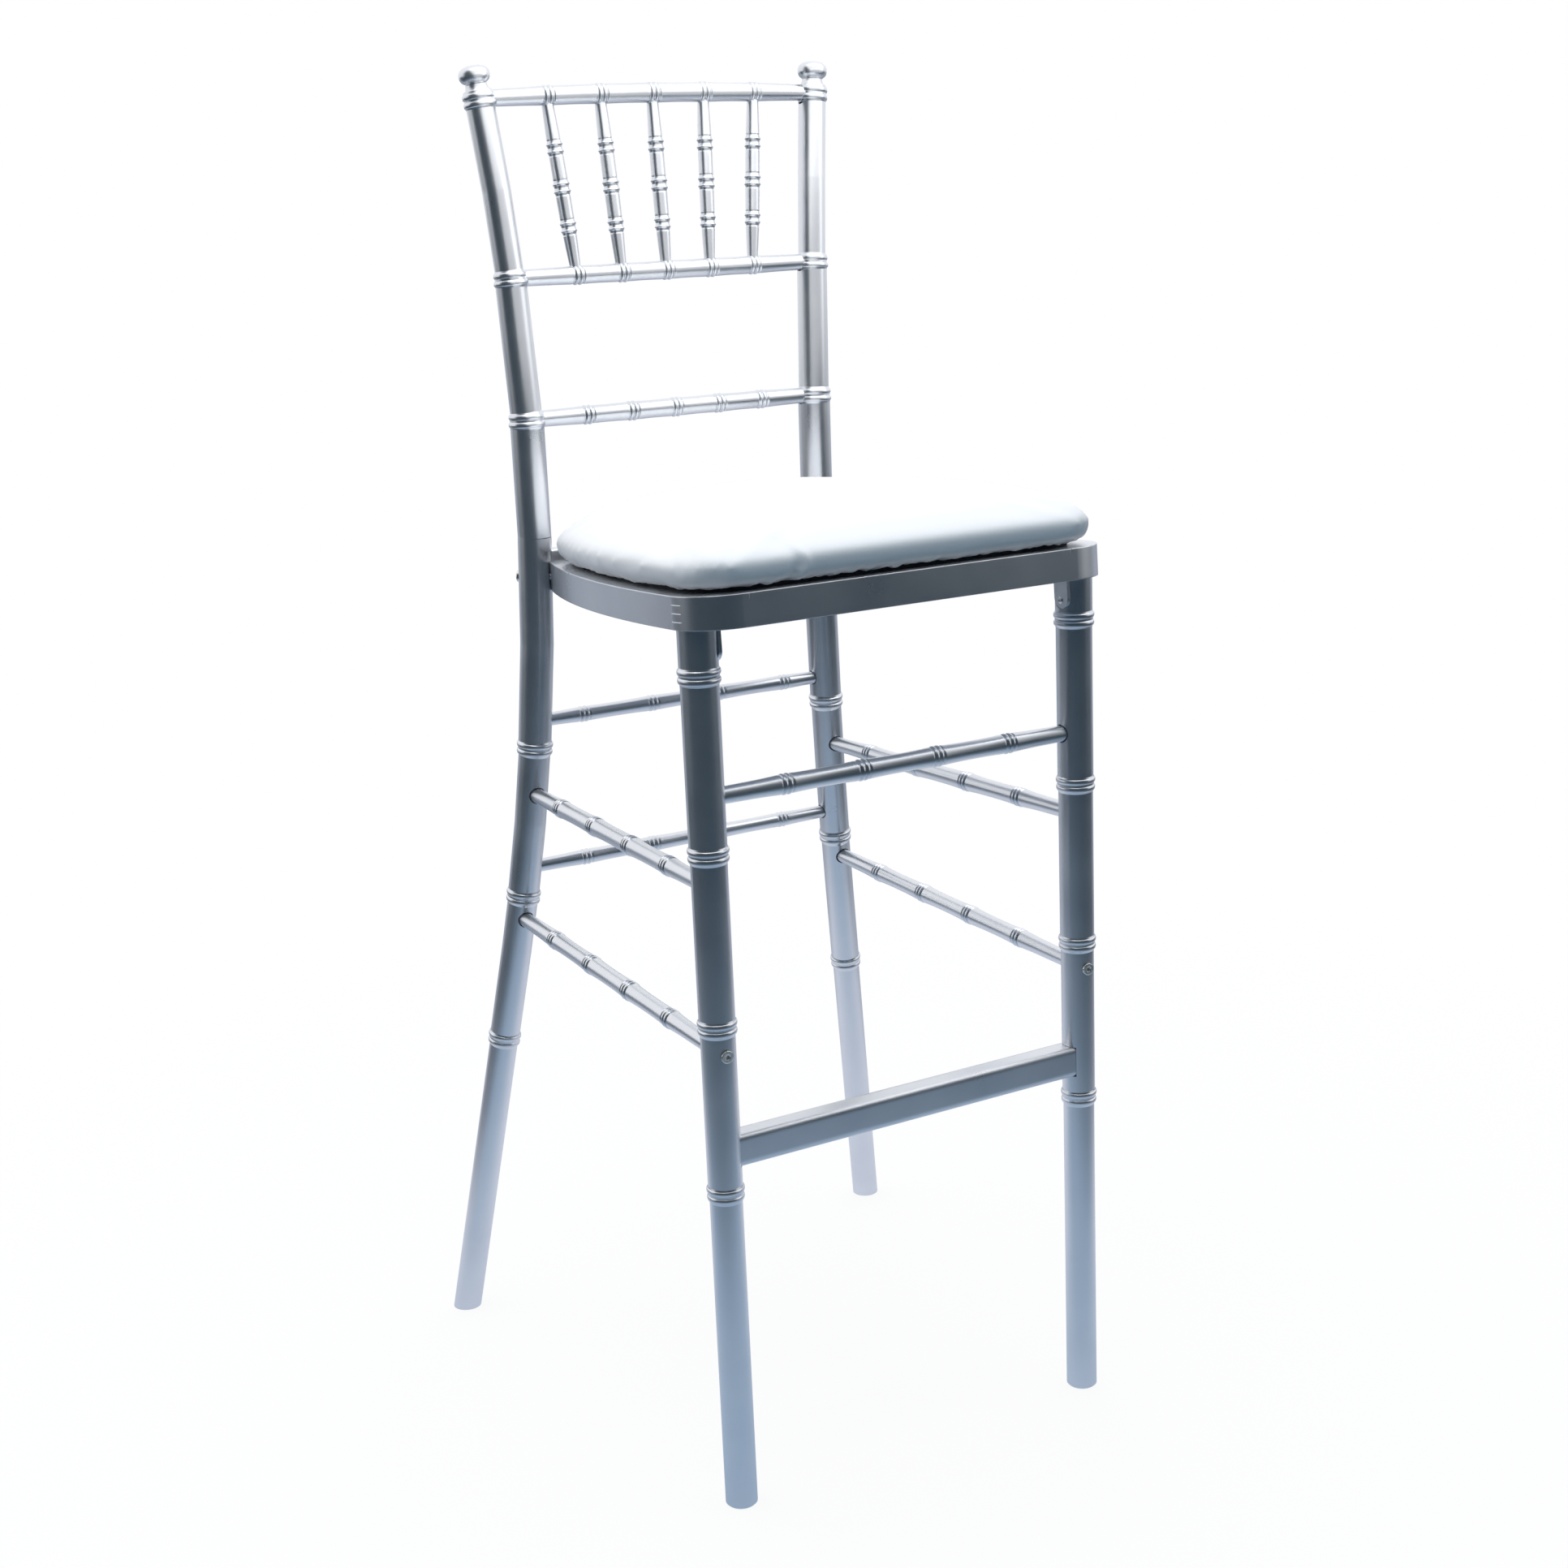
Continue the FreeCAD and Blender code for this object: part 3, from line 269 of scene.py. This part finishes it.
# Stretchers. Seven turned beech sticks, each swelling to four grooved nodes like a
# bamboo cane and tapering into round sockets in the legs and posts.
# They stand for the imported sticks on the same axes.
def axis_of(name):
    """Both ends of a packed stick's axis, lowest x, y or z end first."""
    points = np.unique(np.array([v.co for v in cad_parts[name].data.vertices]).round(7), axis=0)
    middle = points.mean(0)
    along = (points - middle) @ np.linalg.svd(points - middle, full_matrices=False)[2][0]
    ends = [points[along < along.min() + MM].mean(0), points[along > along.max() - MM].mean(0)]
    way = np.abs(ends[1] - ends[0]).argmax()
    return [Vector(end) for end in sorted(ends, key=lambda end: end[way])]


def evenly(count, pitch):
    """Places in mm at an even pitch, counted from a stick's middle."""
    return [pitch * (number - (count - 1) / 2) for number in range(count)]


def turn_stick(name, material, nodes, waist, tips, swell, ridge, cut, ring=2.3, bow=0.0, lift=0.0):
    """Turns a stick in mm with two rings at each node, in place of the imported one."""
    even_stops, node_stops, node_reach, turning_steps = 48, 50, 8, 40
    taper, swell_reach, ridge_wide, groove_wide = 2.5, 32, 1.1, 0.7
    start, end = axis_of(name)
    half = (end - start).length / 2 / MM
    stops = set(np.linspace(-half, half, even_stops))
    for node in nodes:
        stops |= set(np.linspace(node - node_reach, node + node_reach, node_stops))
    section = [(-half, 0)]
    for stop in sorted(stops):
        tip = tips[0] if stop < 0 else tips[1]
        radius = waist - (waist - tip) * abs(stop / half) ** taper
        for node in nodes:
            away = abs(stop - node)
            middle_groove = math.exp(-(away / groove_wide) ** 2)
            outer_groove = math.exp(-((away - 2 * ring) / groove_wide) ** 2)
            radius += swell * max(0.0, 1 - away / swell_reach) ** 2
            radius += ridge * math.exp(-((away - ring) / ridge_wide) ** 2)
            radius -= cut * (middle_groove + outer_groove)
        section.append((stop, radius))
    section.append((half, 0))
    turned = (end - start).to_track_quat("Z", "X").to_matrix().to_4x4()
    place = Matrix.Translation((start + end) / 2) @ turned
    bm = bmesh.new()
    turn(bm, section, Matrix(), steps=turning_steps)
    for vert in bm.verts:
        raised = lift + bow * (1 - (vert.co.z / half / MM) ** 2)
        vert.co = place @ vert.co + Vector((0, 0, raised * MM))
    piece = make_piece(f"turned_{name}", bm, material)
    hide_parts(name)
    return piece


across_silver = silver("silver_across", (grain_along, grain_across, grain_across))
along_silver = silver("silver_along", (grain_across, grain_along, grain_across))
wide_nodes, side_nodes = evenly(4, 71), evenly(4, 77.5)
turn_stick("front_stretcher", across_silver, wide_nodes, waist=7.7, tips=(6.8, 6.8),
           swell=0.9, ridge=0.42, cut=0.92)
for name in ("upper_rear_stretcher", "lower_rear_stretcher"):
    turn_stick(name, across_silver, wide_nodes, waist=6.6, tips=(6.0, 6.0), swell=0.8, ridge=0.4, cut=0.88)
for side in ("right", "left"):
    for level in ("upper", "lower"):
        turn_stick(f"{side}_{level}_side_stretcher", along_silver, side_nodes, waist=7.6, tips=(6.7, 6.7),
                   swell=0.9, ridge=0.42, cut=0.92)


# Footrest. A flat beech bar tenoned into the front legs, silver like the rest, as
# packed; the paint rounds its long edges.
def rounded_edges(tree, radius, samples):
    """A normal that rounds the piece's edges."""
    return add(tree, "ShaderNodeBevel", {"Radius": radius}, samples=samples).outputs[0]


bar_silver = silver("silver_footrest", (grain_along, grain_across, grain_across))
tree = bar_silver.node_tree
tree.links.new(rounded_edges(tree, 6 * MM, 8), tree.nodes["Bump"].inputs["Normal"])
dress(bar_silver, "footrest_bar")


# Seat frame. A straight front rail finger-jointed to two bowed side rails, and a rear
# rail between the posts, all silver lacquered beech, as packed. Its edges are rounded
# by the shader, but not the middle of its faces, save at the finger joints.
def between(tree, value, low, high):
    """1 where the value lies between low and high, else 0."""
    over = reckon(tree, "GREATER_THAN", value, low)
    under = reckon(tree, "LESS_THAN", value, high)
    return reckon(tree, "MULTIPLY", over, under)


seat_tilt = math.radians(-3.32)
seat_front = Vector((0, -258.276 * MM, 746.144 * MM))
seat_place = Matrix.Translation(seat_front) @ Matrix.Rotation(seat_tilt, 4, "X")
seat_back_way = Vector((0, math.cos(seat_tilt), math.sin(seat_tilt)))
seat_up_way = Vector((0, -math.sin(seat_tilt), math.cos(seat_tilt)))
face_low, face_high = 4 * MM, 22 * MM
fingers_front, fingers_back = 29 * MM, 41 * MM
seat_silver = silver("silver_seat", (grain_along, grain_across, grain_across))
tree = seat_silver.node_tree
place = add(tree, "ShaderNodeTexCoord").outputs["Object"]
rise = vector(tree, "DOT_PRODUCT", place, seat_up_way)["Value"]
depth = vector(tree, "DOT_PRODUCT", place, seat_back_way)["Value"]
bottom, front = seat_front.dot(seat_up_way), seat_front.dot(seat_back_way)
face = between(tree, rise, bottom + face_low, bottom + face_high)
fingers = between(tree, depth, front + fingers_front, front + fingers_back)
plain = reckon(tree, "SUBTRACT", face, fingers, use_clamp=True)
soft = rounded_edges(tree, 1.3 * MM, 6)
flat = add(tree, "ShaderNodeNewGeometry").outputs["Normal"]
edge = add(tree, "ShaderNodeMix", {0: plain, 4: soft, 5: flat}, data_type="VECTOR").outputs[1]
tree.links.new(edge, tree.nodes["Bump"].inputs["Normal"])
dress(seat_silver, "seat_front_rail", "seat_rear_rail", "right_seat_rail", "left_seat_rail")


# Seat panel. Thin plywood let into the seat frame under the cushion, sprayed thinly
# with the silver so that its grain still shows.
plywood_dark, plywood_pale = (0.42, 0.43, 0.45, 1), (0.54, 0.55, 0.58, 1)
plywood, tree, place = new_material("plywood")
stretched = vector(tree, "MULTIPLY", place, (14, 190, 190))["Vector"]
grain = mottle(tree, stretched, 1.0, 6.0, distortion=0.6)
colour = blend(tree, ranged(tree, grain, 0, 1), plywood_dark, plywood_pale)
finish(tree, colour, ranged(tree, grain, 0.5, 0.62), relief(tree, grain, 0.2, 0.5 * MM))
dress(plywood, "seat_panel")


# Leg brackets. Bent steel plates, silver painted, that tie the front legs to the
# seat frame, as packed; each tongue is let into a flat on its leg.
dress(upright_silver, "right_leg_bracket", "left_leg_bracket")


# Back rails and spindles. A crest rail and two lower rails, each with five grooved
# nodes, and five slim spindles socketed between the crest and the middle rail.
# All are turned beech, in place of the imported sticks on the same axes.
turn_stick("crest_rail", across_silver, evenly(5, 51.3), waist=8.3, tips=(7.0, 7.0),
           swell=0.5, ridge=0.6, cut=0.9, bow=2.5, lift=1.6)
for name in ("middle_back_rail", "lower_back_rail"):
    turn_stick(name, across_silver, evenly(5, 44.5), waist=7.9, tips=(7.1, 7.1), swell=0.5, ridge=0.6, cut=0.9)
for number in range(1, 6):
    turn_stick(f"spindle_{number}", upright_silver, evenly(3, 34), waist=6.4, tips=(4.6, 5.1),
               swell=0.3, ridge=0.95, cut=0.25, ring=3.2)


# Screws. Plated steel button-head screws with hexagon sockets tie the lower side
# stretchers and the seat frame to the legs and posts, as packed. The small screws
# that hold the bracket tongues to the front legs are turned here.
plated_dark, plated_pale = (0.82, 0.80, 0.74, 1), (0.95, 0.93, 0.88, 1)
plated, tree, place = new_material("plated_steel")
scuff = mottle(tree, place, 900.0, 3.0)
finish(tree, blend(tree, scuff, plated_dark, plated_pale), ranged(tree, scuff, 0.25, 0.4),
       rounded_edges(tree, 1.2 * MM, 8), metallic=1.0)
dress(plated, "stretcher_screws", "seat_screws")
tongue_x, tongue_y, tongue_z = 162, -223.6, 724
small_head = [(-1.5, 0), (-1.5, 3.1), (0, 3.1), (0.7, 2.7), (1.3, 1.8), (1.5, 1.2), (0.4, 1.1), (0.4, 0)]
bm = bmesh.new()
for sign in (1, -1):
    turn(bm, small_head, Matrix.Translation((sign * tongue_x * MM, tongue_y * MM, tongue_z * MM))
         @ Matrix.Rotation(-sign * math.pi / 2, 4, "Y"), steps=24)
make_piece("bracket_screws", bm, plated)


# Tapes and board. Grey hook and loop tapes hold the cushion's black hardboard base
# to the seat panel; all are imported solids. The board is coloured darker than black paint, so that it is its
# own black and also painted shade for the gap under the hem.
def dull(name, dark, pale, scale, rough, depth):
    """A matt, mottled, rough material."""
    rough_spread = 0.06
    material, tree, place = new_material(name)
    nap = mottle(tree, place, scale, 4.0)
    colour = blend(tree, ranged(tree, nap, 0, 1), dark, pale)
    finish(tree, colour, ranged(tree, nap, rough - rough_spread, rough + rough_spread),
           relief(tree, nap, 0.5, depth))
    return material


tape = dull("tape", (0.06, 0.06, 0.065, 1), (0.13, 0.13, 0.135, 1), scale=1600.0, rough=0.9, depth=0.6 * MM)
dress(tape, "loop_tapes", "hook_tapes")
# Near lightless black: the board's own black, darkened further as painted shade in the gap under the hem.
black_board = dull("black_board", (0.004, 0.004, 0.005, 1), (0.01, 0.01, 0.011, 1),
                   scale=240.0, rough=0.85, depth=0.3 * MM)
dress(black_board, "cushion_board")


# Cushion. Foam under a smooth white cover, drawn in under the board by a gathered
# hem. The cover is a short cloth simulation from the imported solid, with the hem
# held; its puckers and the crease at the front are added on the result.
def baked(piece):
    """The piece's mesh with its modifiers applied."""
    return bpy.data.meshes.new_from_object(piece.evaluated_get(bpy.context.evaluated_depsgraph_get()))


def settle(piece):
    """Applies the piece's modifiers to its mesh."""
    piece.data = baked(piece)
    piece.modifiers.clear()


def even_out(piece, passes, group=""):
    """Smooths the piece, or as much of it as a vertex group holds."""
    even = piece.modifiers.new("even", "SMOOTH")
    even.factor, even.iterations, even.vertex_group = 0.5, passes, group


to_seat = seat_place.inverted()
white_cover = dull("white_cover", (0.83, 0.84, 0.855, 1), (0.88, 0.885, 0.895, 1),
                   scale=1100.0, rough=0.5, depth=0.15 * MM)
bm = bmesh.new()
bm.from_mesh(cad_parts["cushion"].data)
bmesh.ops.remove_doubles(bm, verts=bm.verts, dist=0.02 * MM)
cover = make_piece("white_cushion", bm, white_cover, "cushion")
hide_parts("cushion")
remesh = cover.modifiers.new("voxels", "REMESH")
remesh.mode, remesh.voxel_size = "VOXEL", 5 * MM
settle(cover)

# The top becomes a dome that rises from the solid's widest outline, in mm above the seat's bottom
widest, crown, fall, dome_curve, seat_middle = 44.25, 87.0, 165.0, 0.62, 200
solid = [to_seat @ v.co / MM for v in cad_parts["cushion"].data.vertices]
ring = {(round(v.x, 2), round(v.y, 2)) for v in solid if abs(v.z - widest) < 0.3}
ring = np.array(sorted(ring, key=lambda spot: math.atan2(spot[1] - seat_middle, spot[0])))
ahead = np.roll(ring, -1, axis=0) - ring
for vert in cover.data.vertices:
    local = to_seat @ vert.co / MM
    if local.z > widest:
        gone = np.array(local.xy) - ring
        share = np.clip((gone * ahead).sum(1) / (ahead * ahead).sum(1), 0, 1)
        inset = np.linalg.norm(gone - ahead * share[:, None], axis=1).min()
        left = 1 - min(1.0, inset / fall)
        local.z = widest + (crown - widest) * (1 - left * left) ** dome_curve
        vert.co = seat_place @ (local * MM)
even_out(cover, 8)
settle(cover)
dome_fade, dome_start = 14, 0.3
dome = cover.vertex_groups.new(name="dome")
for vert in cover.data.vertices:
    raised = (to_seat @ vert.co).z / MM - widest
    dome.add([vert.index], min(1.0, max(0.0, raised / dome_fade - dome_start)), "REPLACE")
even_out(cover, 50, "dome")
settle(cover)
cover.vertex_groups.clear()

# The foam presses the cover out a little, while the hem is held
hem_band, swell_limit, cloth_frames = 7 * MM, 2.5 * MM, 20
rest = np.array([v.co for v in cover.data.vertices])
heights = np.array([(to_seat @ v.co).z for v in cover.data.vertices])
hem_height = heights.min()
held = cover.vertex_groups.new(name="hem")
held.add([int(i) for i in np.flatnonzero(heights < hem_height + hem_band)], 1.0, "REPLACE")
cloth = cover.modifiers.new("cloth", "CLOTH")
cloth.settings.quality = 6
cloth.settings.use_pressure = True
cloth.settings.uniform_pressure_force = 4.0
cloth.settings.vertex_group_mass = "hem"
cloth.settings.effector_weights.gravity = 0.0
for step in range(1, cloth_frames + 1):
    bpy.context.scene.frame_set(step)
swollen = np.array([v.co for v in baked(cover).vertices])
cover.modifiers.clear()
bpy.context.scene.frame_set(1)
moved = swollen - rest
length = np.linalg.norm(moved, axis=1, keepdims=True)
moved *= np.minimum(1.0, swell_limit / np.maximum(length, 1e-9))
cover.data.vertices.foreach_set("co", (rest + moved).astype(np.float32).ravel())
cover.vertex_groups.clear()
even_out(cover, 8)
finer = cover.modifiers.new("finer", "SUBSURF")
finer.levels = finer.render_levels = 1
settle(cover)

# Smoothing drew the cover in, so it is stretched to the solid's outline again, short of it at the
# rear by the room that the cushion needs to lift past the lower back rail; then come the puckers
rear_room = np.array([0, 4])
hem_tall, gather, droop, sag = 11, 0.8, 2.2, 1.0
wide_fold, fine_fold, droop_fold, droop_shift = 13, 5.5, 8, Vector((7, 3, 1))
crease_x, crease_depth, crease_tall, crease_sway, sway_tall = -100, 40, 34, 4, 8
ridge_out, ridge_wide, hollow_in, hollow_wide, hollow_away = 2.6, 3.5, 2.4, 6, 8
shape = np.array([(to_seat @ v.co) / MM for v in cover.data.vertices])
stretch = (ring.max(0) - rear_room - ring.min(0)) / np.ptp(shape[:, :2], axis=0)
shape[:, :2] = (shape[:, :2] - shape[:, :2].min(0)) * stretch + ring.min(0)
for vert, place in zip(cover.data.vertices, shape):
    local = Vector(place)
    up = local.z - hem_height / MM
    here = Vector((local.x, local.y, 0))
    low = max(0.0, 1 - up / hem_tall) ** 1.5
    fold = 1 - 2 * abs(noise.noise(here / wide_fold)) - abs(noise.noise(here / fine_fold))
    outward = Vector((local.x, local.y - seat_middle, 0)).normalized()
    local += outward * fold * gather * low
    local.z += (noise.noise(here / droop_fold + droop_shift) * droop - sag) * low
    if local.y < crease_depth:
        aside = local.x - crease_x - crease_sway * math.sin(up / sway_tall)
        ridge = ridge_out * math.exp(-(aside / ridge_wide) ** 2)
        hollow = hollow_in * math.exp(-((aside + hollow_away) / hollow_wide) ** 2)
        local.y -= max(0.0, 1 - (up / crease_tall) ** 2) * (ridge - hollow)
    vert.co = seat_place @ (local * MM)
for polygon in cover.data.polygons:
    polygon.use_smooth = True


# Studio. A white floor in a white room, which the silver mirrors as dark on the
# camera's side. A wide soft light overhead serves the matt pieces, and two flats
# in front of the back show only in the silver.
def fade(tree, value, start, end, first=0.0, last=1.0):
    """Runs smoothly from first to last while the value goes from start to end."""
    return add(tree, "ShaderNodeMapRange", {"Value": value, "From Min": start, "From Max": end, "To Min": first,
                                            "To Max": last}, interpolation_type="SMOOTHSTEP").outputs[0]


scene = bpy.context.scene
azimuth, elevation, roll = math.radians(29.192), math.radians(14.345), math.radians(-2.466)
to_camera = Vector((-math.sin(azimuth), -math.cos(azimuth), 0))
white_light, room_dark = (1, 1, 1, 1), (0.022, 0.036, 0.050, 1)

floor_mesh = bmesh.new()
bmesh.ops.create_grid(floor_mesh, x_segments=1, y_segments=1, size=14)
floor_data = bpy.data.meshes.new("floor")
floor_mesh.to_mesh(floor_data)
floor_mesh.free()
floor = bpy.data.objects.new("floor", floor_data)
scene.collection.objects.link(floor)
floor_behind, floor_before, floor_far = (0.70, 0.74, 0.84, 1), (0.36, 0.47, 0.61, 1), (0.34, 0.38, 0.45, 1)
lit_reach, lit_half, shadow_share = 0.65, 0.26, 0.1
paper, tree, place = new_material("floor_paper")
tree.nodes.remove(tree.nodes["Principled BSDF"])
away = vector(tree, "LENGTH", place)["Value"]
ahead = vector(tree, "DOT_PRODUCT", place, to_camera)["Value"]
halvings = add(tree, "ShaderNodeMapRange", {"Value": away, "From Min": lit_reach,
                                            "From Max": lit_reach + lit_half}, clamp=False).outputs[0]
lit = reckon(tree, "POWER", 0.5, halvings, use_clamp=True)
sector = fade(tree, reckon(tree, "DIVIDE", ahead, away), -0.6, -0.3)
pale = blend(tree, fade(tree, ahead, -0.35, 0.4), floor_behind, floor_before)
shown = blend(tree, lit, blend(tree, sector, floor_far, room_dark), pale)
glow = add(tree, "ShaderNodeEmission", {"Color": shown, "Strength": 1.0}).outputs[0]
white = add(tree, "ShaderNodeEmission", {"Color": white_light, "Strength": 1.0}).outputs[0]
matt = add(tree, "ShaderNodeBsdfDiffuse", {"Color": (0.92, 0.925, 0.935, 1)}).outputs[0]
shade = reckon(tree, "MULTIPLY", fade(tree, away, 0.5, 1.6, 1.0, 0.0), shadow_share)
seen = add(tree, "ShaderNodeMixShader", {0: shade, 1: white, 2: matt}).outputs[0]
rays = add(tree, "ShaderNodeLightPath").outputs
surface = add(tree, "ShaderNodeMixShader", {0: rays["Is Camera Ray"], 1: glow, 2: seen}).outputs[0]
tree.links.new(surface, tree.nodes["Material Output"].inputs["Surface"])
floor_data.materials.append(paper)

world = bpy.data.worlds.new("studio")
scene.world = world
world.use_nodes = True
tree = world.node_tree
tree.nodes.remove(tree.nodes["Background"])
way = add(tree, "ShaderNodeTexCoord").outputs["Generated"]
height = add(tree, "ShaderNodeSeparateXYZ", {0: way}).outputs["Z"]


def room(dark_way, wide, narrow, low, high, bright, dim):
    """The room's colour: bright, but dim towards one way up to a height."""
    towards = fade(tree, vector(tree, "DOT_PRODUCT", way, dark_way)["Value"], wide, narrow)
    below = fade(tree, height, low, high, 1.0, 0.0)
    return blend(tree, reckon(tree, "MULTIPLY", towards, below), bright, dim)


rays = add(tree, "ShaderNodeLightPath").outputs
matt_room = room(Vector((0, -1, 0)), wide=-0.1, narrow=0.5, low=0.4, high=0.85,
                 bright=(0.80, 0.82, 0.86, 1), dim=(0.03, 0.15, 0.23, 1))
mirrored_room = room(to_camera, wide=0.1, narrow=0.45, low=0.7, high=1.0,
                     bright=(1.0, 1.01, 1.04, 1), dim=room_dark)
shown = blend(tree, rays["Is Glossy Ray"], matt_room, mirrored_room)
colour = blend(tree, rays["Is Camera Ray"], shown, white_light)
sky = add(tree, "ShaderNodeBackground", {"Color": colour, "Strength": 1.0}).outputs[0]
tree.links.new(sky, tree.nodes["World Output"].inputs["Surface"])


def soft_light(name, at, towards, width, tall, brightness, mirrored):
    """An even white panel, unseen by the camera, that shows in the silver or lights the matt pieces."""
    light = bpy.data.lights.new(name, "AREA")
    light.shape, light.size, light.size_y = "RECTANGLE", width, tall
    light.energy = brightness * math.pi * width * tall
    panel = bpy.data.objects.new(name, light)
    scene.collection.objects.link(panel)
    panel.location = at
    panel.rotation_euler = (Vector(towards) - Vector(at)).to_track_quat("-Z", "Y").to_euler()
    panel.visible_camera = False
    panel.visible_glossy = mirrored
    panel.visible_diffuse = not mirrored


soft_light("overhead", at=(-0.1, 0.1, 2.3), towards=(-0.1, 0.1, 0), width=2.2, tall=2.0,
           brightness=1.9, mirrored=False)
soft_light("back_flat", at=(0.2, -0.125, 1.5), towards=(0.2, 0.175, 1.175), width=1.4, tall=0.88,
           brightness=1.2, mirrored=True)
soft_light("low_flat", at=(0.3, -0.2, 1.07), towards=(0.3, 0.2, 1.07), width=1.2, tall=0.36,
           brightness=0.6, mirrored=True)

photo_wide, photo_focal = 1932, 2818
lens = bpy.data.cameras.new("photo_view")
lens.sensor_width = 36
lens.lens = lens.sensor_width * photo_focal / photo_wide
camera = bpy.data.objects.new("photo_view", lens)
scene.collection.objects.link(camera)
camera.matrix_world = (Matrix.Translation((-0.9578, -1.74453, 1.0562))
                       @ Matrix.Rotation(-azimuth, 4, "Z")
                       @ Matrix.Rotation(math.pi / 2 - elevation, 4, "X")
                       @ Matrix.Rotation(roll, 4, "Z"))
scene.camera = camera
scene.view_settings.view_transform = "Standard"
